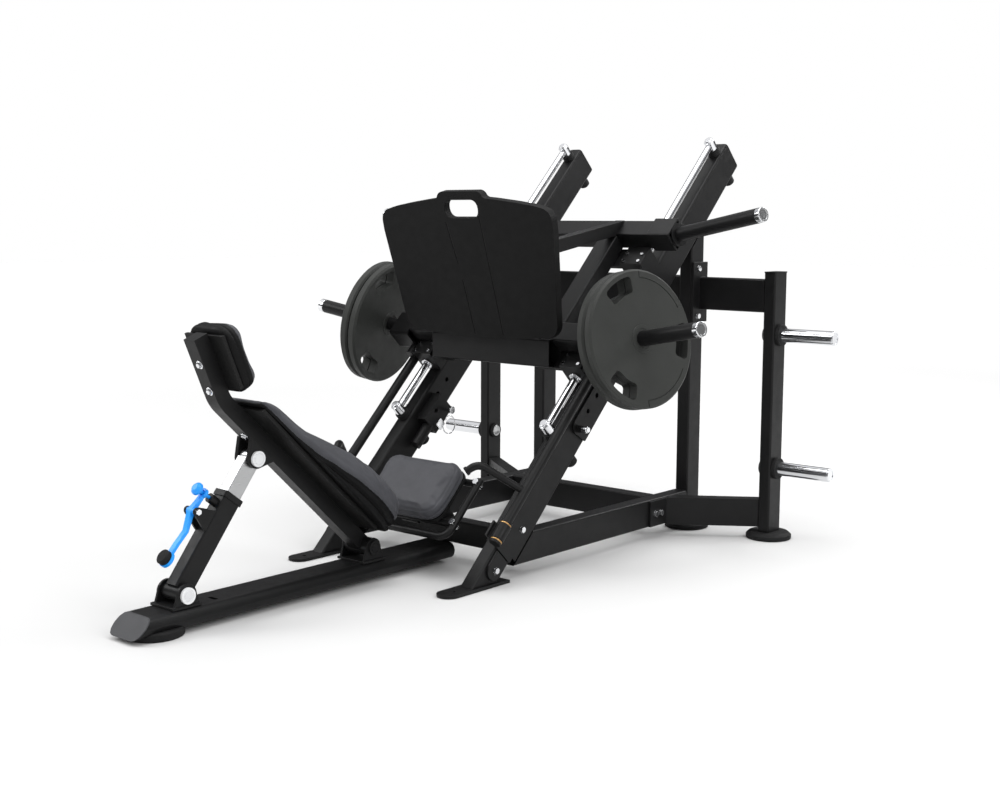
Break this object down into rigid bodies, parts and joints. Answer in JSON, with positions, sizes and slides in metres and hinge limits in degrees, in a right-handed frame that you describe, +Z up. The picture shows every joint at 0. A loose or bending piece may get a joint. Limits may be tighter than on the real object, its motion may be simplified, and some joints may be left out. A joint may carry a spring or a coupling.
{
  "type": "plate-loaded leg press machine",
  "caption": "Inclined leg press with a sliding footplate sled, loaded weight plates, reclining back pad, fixed seat and storage pegs.",
  "frame": {"origin": "on the floor, at the middle of the machine's outline", "axes": "+Z up, +Y from the low end with the seat to the high end of the rails, +X to the side"},
  "size_m": [1.824, 2.5034, 1.4454],
  "materials": {
    "black_paint": "satin powder coat",
    "chrome": "polished",
    "rubber": "matt",
    "vinyl": "grained upholstery",
    "black_board": "black painted board",
    "bronze": "bearing bronze",
    "blue": "gloss",
    "plate": "urethane coated",
    "nose": "light grey",
    "footplate": "moulded satin"
  },
  "bodies": {
    "frame": {"centre_rail": "black_paint", "rail_nose": "nose", "front_foot": "rubber", "cross_beams": "black_paint", "side_beams": "black_paint", "guide_rails": "black_paint", "rail_caps": "rubber", "rail_legs": "black_paint", "foot_plates": "black_paint", "lap_plates": "black_paint", "rear_uprights": "black_paint", "rear_top_beam": "black_paint", "storage_uprights": "black_paint", "upper_links": "black_paint", "lower_links": "black_paint", "disc_feet": "rubber", "storage_pegs": "chrome", "peg_collars": "rubber", "guide_rods": "chrome", "rod_posts": "chrome", "rod_buffers": "rubber", "stop_plates": "black_paint", "stop_bodies": "black_paint", "stop_hardware": "chrome", "clevises": "black_paint", "pivot_pins": "chrome", "seat_frame": "black_paint", "seat_clamps": "chrome", "seat_board": "black_board", "seat_pad": "vinyl", "shaft_brackets": "black_paint", "shaft_bushes": "bronze"},
    "sled": {"sled_beams": "black_paint", "sled_side_beams": "black_paint", "sled_arms": "black_paint", "sled_braces": "black_paint", "footplate": "footplate", "footplate_brackets": "black_paint", "bearing_blocks": "black_paint", "bearing_seals": "chrome", "sleeve_flanges": "black_paint", "sleeves": "black_paint", "sleeve_ends": "chrome"},
    "disc_inner_right": {"disc_inner_r": "plate"},
    "disc_outer_right": {"disc_outer_r": "plate"},
    "disc_inner_left": {"disc_inner_l": "plate"},
    "disc_outer_left": {"disc_outer_l": "plate"},
    "backrest": {"backrest_tube": "black_paint", "back_board": "black_board", "back_pad": "vinyl", "head_board": "black_board", "head_pad": "vinyl"},
    "strut_outer": {"strut_tube": "black_paint"},
    "strut_slider": {"strut_inner": "chrome"},
    "lever": {"release_lever": "blue"},
    "lock_pin": {"release_pin": "blue"},
    "safety_shaft_right": {"shaft_r": "black_paint"},
    "safety_shaft_left": {"shaft_l": "black_paint"},
    "stop_pin_right": {"stop_pin_r": "chrome"},
    "stop_pin_left": {"stop_pin_l": "chrome"}
  },
  "joints": [
    {"name": "sled_slide", "type": "slide", "parent": "frame", "child": "sled", "axis": [0, 0.7071, 0.7071], "range_m": [0, 0.45]},
    {"name": "disc_inner_right_slide", "type": "slide", "parent": "sled", "child": "disc_inner_right", "axis": [0.9668, -0.1806, 0.1806], "range_m": [0, 0.2]},
    {"name": "disc_outer_right_slide", "type": "slide", "parent": "disc_inner_right", "child": "disc_outer_right", "axis": [0.9668, -0.1806, 0.1806], "range_m": [0, 0.28]},
    {"name": "disc_inner_left_slide", "type": "slide", "parent": "sled", "child": "disc_inner_left", "axis": [-0.9668, -0.1806, 0.1806], "range_m": [0, 0.2]},
    {"name": "disc_outer_left_slide", "type": "slide", "parent": "disc_inner_left", "child": "disc_outer_left", "axis": [-0.9668, -0.1806, 0.1806], "range_m": [0, 0.28]},
    {"name": "recline", "type": "hinge", "parent": "frame", "child": "backrest", "pos_m": [0, -0.36, 0.113], "axis": [1, 0, 0], "range_deg": [-5, 5]},
    {"name": "strut_pivot", "type": "hinge", "parent": "frame", "child": "strut_outer", "pos_m": [0, -1.067, 0.102], "axis": [1, 0, 0], "range_deg": [-1, 1]},
    {"name": "strut_slide", "type": "slide", "parent": "strut_outer", "child": "strut_slider", "axis": [0, 0.6088, 0.7934], "range_m": [-0.055, 0.055]},
    {"name": "lever_pivot", "type": "hinge", "parent": "strut_outer", "child": "lever", "pos_m": [0, -1.00654, 0.32535], "axis": [1, 0, 0], "range_deg": [0, 10]},
    {"name": "lock_pin_slide", "type": "slide", "parent": "strut_outer", "child": "lock_pin", "axis": [0, -0.7934, 0.6088], "range_m": [0, 0.0115]},
    {"name": "safety_right", "type": "hinge", "parent": "frame", "child": "safety_shaft_right", "pos_m": [0.408, -0.15548, 0.17548], "axis": [0, 0.7071, 0.7071], "range_deg": [0, 85]},
    {"name": "safety_left", "type": "hinge", "parent": "frame", "child": "safety_shaft_left", "pos_m": [-0.408, -0.15548, 0.17548], "axis": [0, 0.7071, 0.7071], "range_deg": [-85, 0]},
    {"name": "stop_pull_right", "type": "slide", "parent": "frame", "child": "stop_pin_right", "axis": [1, 0, 0], "range_m": [0, 0.035]},
    {"name": "stop_pull_left", "type": "slide", "parent": "frame", "child": "stop_pin_left", "axis": [-1, 0, 0], "range_m": [0, 0.035]}
  ],
  "couplings": [
    {"joint": "strut_pivot", "follows": "recline", "ratio": -0.0024},
    {"joint": "strut_slide", "follows": "recline", "m_per_rad": -0.5534},
    {"joint": "lock_pin_slide", "follows": "lever_pivot", "m_per_rad": 0.062}
  ]
}
